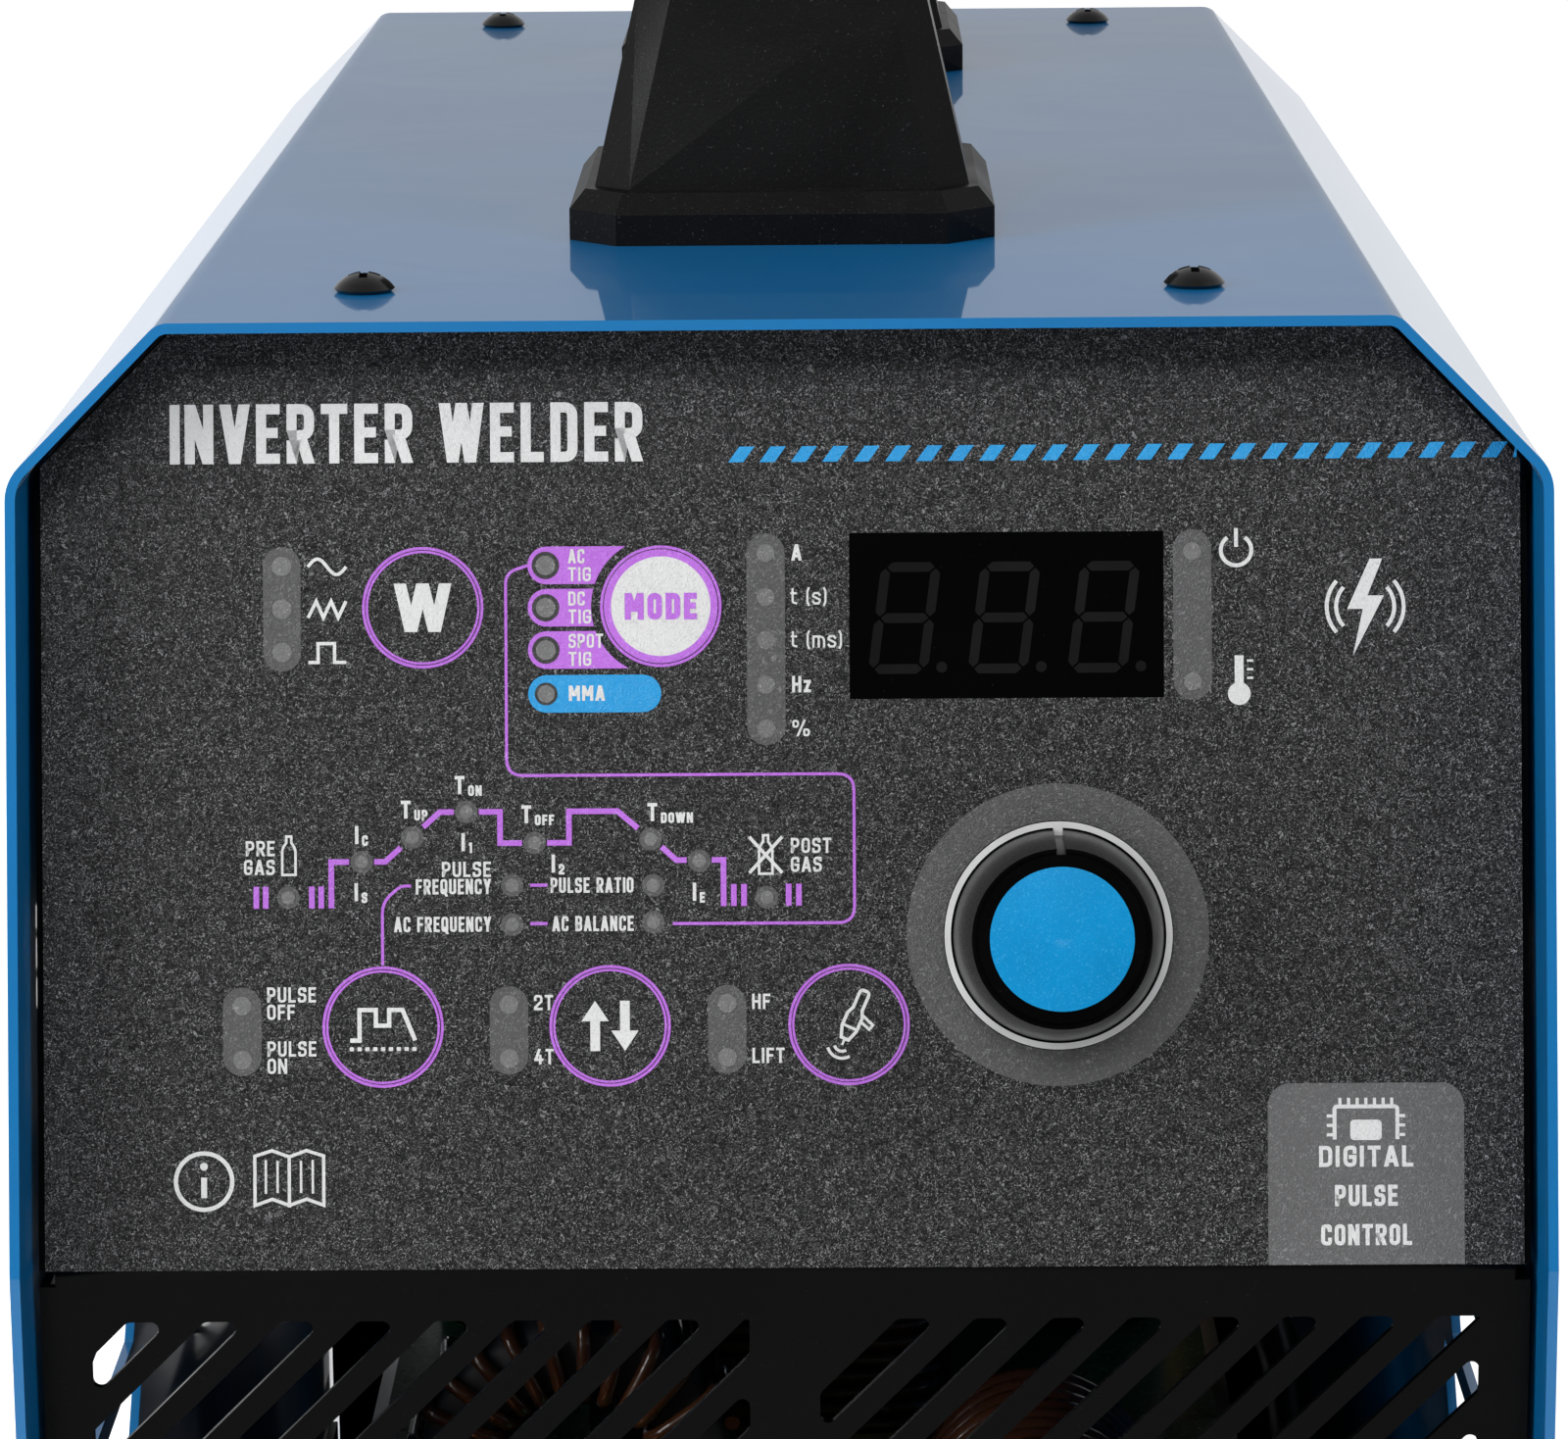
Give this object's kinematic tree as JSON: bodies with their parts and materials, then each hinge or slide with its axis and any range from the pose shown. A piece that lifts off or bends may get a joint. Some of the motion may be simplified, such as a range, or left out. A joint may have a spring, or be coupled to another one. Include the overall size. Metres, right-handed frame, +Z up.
{
  "type": "tig welding machine",
  "caption": "Portable inverter TIG welder: folded blue cover, slanted control panel with knob and keys, slotted front vent, output sockets, rear fan and a carrying handle.",
  "frame": {"origin": "on the floor under the middle of the machine's bounding box", "axes": "+Z up, front towards -Y, +X to the right as seen from the front"},
  "size_m": [0.2, 0.4622, 0.3907],
  "materials": {
    "cover_paint": "gloss blue paint",
    "black_sheet": "satin black powder coat",
    "black_steel": "black oxide",
    "overlay": "coarse grained polycarbonate film",
    "window": "smoked",
    "black_plastic": "fine grain",
    "rocker": "satin",
    "blue_plastic": "satin blue",
    "white_plastic": "white",
    "rubber": "matt",
    "hose": "smooth",
    "brass": "turned",
    "plated_steel": "nickel plated",
    "valve": "cast",
    "aluminium": "extruded",
    "circuit_board": "solder mask",
    "led_lens": "clear epoxy",
    "glass_fibre": "laminate",
    "module": "moulded epoxy",
    "ferrite": "sintered",
    "winding": "enamelled turns",
    "copper": "rolled"
  },
  "bodies": {
    "case": {"case_screws": "black_steel", "handle_leg_front": "black_plastic", "handle_leg_rear": "black_plastic", "handle_grip": "black_plastic", "handle_bolts": "black_steel", "handle_base_screws": "black_steel", "top_cover": "cover_paint", "chassis_tray": "black_sheet", "rubber_feet": "rubber", "feet_bolts": "black_steel", "front_panel": "black_sheet", "rear_panel": "black_sheet", "panel_overlay": "overlay", "display_window": "window", "control_board": "circuit_board", "board_standoffs": "plated_steel", "tact_switches": "black_plastic", "panel_leds": "led_lens", "display_module": "black_plastic", "encoder_body": "plated_steel", "encoder_nut": "plated_steel", "negative_socket_body": "black_plastic", "negative_socket_contact": "brass", "positive_socket_body": "black_plastic", "positive_socket_contact": "brass", "socket_nuts": "black_plastic", "torch_connector_shell": "plated_steel", "torch_connector_core": "black_plastic", "gas_outlet_fitting": "brass", "fan_frame": "black_plastic", "fan_guard": "black_sheet", "fan_screws": "black_steel", "power_switch_housing": "black_plastic", "cable_gland": "black_plastic", "gland_dome_nut": "black_plastic", "gas_inlet_fitting": "brass", "gas_valve": "valve", "heatsinks": "aluminium", "heatsink_rails": "glass_fibre", "igbt_modules": "module", "power_board": "circuit_board", "bus_capacitors": "module", "transformer_core": "ferrite", "transformer_winding": "winding", "output_choke": "winding", "hf_coupling_coil": "winding", "busbars": "copper", "gas_hose": "hose"},
    "encoder_push": {"encoder_plunger": "plated_steel"},
    "knob": {"encoder_shaft": "plated_steel", "encoder_knob": "black_plastic", "knob_cap": "blue_plastic", "knob_ring": "white_plastic"},
    "fan": {"fan_rotor": "black_plastic"},
    "rocker": {"power_switch_rocker": "rocker"},
    "button_waveform": {"button_waveform": "overlay"},
    "button_mode": {"button_mode": "overlay"},
    "button_pulse": {"button_pulse": "overlay"},
    "button_trigger": {"button_trigger": "overlay"},
    "button_ignition": {"button_ignition": "overlay"}
  },
  "joints": [
    {"name": "button_waveform_press", "type": "slide", "parent": "case", "child": "button_waveform", "axis": [0, 0.9744, -0.225], "range_m": [0, 0.00035], "stiffness_N_per_m": 800, "springref_m": -0.0004},
    {"name": "button_mode_press", "type": "slide", "parent": "case", "child": "button_mode", "axis": [0, 0.9744, -0.225], "range_m": [0, 0.00035], "stiffness_N_per_m": 800, "springref_m": -0.0004},
    {"name": "button_pulse_press", "type": "slide", "parent": "case", "child": "button_pulse", "axis": [0, 0.9744, -0.225], "range_m": [0, 0.00035], "stiffness_N_per_m": 800, "springref_m": -0.0004},
    {"name": "button_trigger_press", "type": "slide", "parent": "case", "child": "button_trigger", "axis": [0, 0.9744, -0.225], "range_m": [0, 0.00035], "stiffness_N_per_m": 800, "springref_m": -0.0004},
    {"name": "button_ignition_press", "type": "slide", "parent": "case", "child": "button_ignition", "axis": [0, 0.9744, -0.225], "range_m": [0, 0.00035], "stiffness_N_per_m": 800, "springref_m": -0.0004},
    {"name": "knob_push", "type": "slide", "parent": "case", "child": "encoder_push", "axis": [0, 0.9744, -0.225], "range_m": [0, 0.0005], "stiffness_N_per_m": 1500, "springref_m": -0.001},
    {"name": "knob_turn", "type": "hinge", "parent": "encoder_push", "child": "knob", "pos_m": [0.0352, -0.19959, 0.24422], "axis": [0, -0.9744, 0.225], "continuous": true},
    {"name": "fan_spin", "type": "hinge", "parent": "case", "child": "fan", "pos_m": [-0.028, 0.1939, 0.095], "axis": [0, 1, 0], "continuous": true},
    {"name": "power_rocker", "type": "hinge", "parent": "case", "child": "rocker", "pos_m": [0.048, 0.1801, 0.25906], "axis": [-1, 0, 0], "range_deg": [0, 24]}
  ]
}
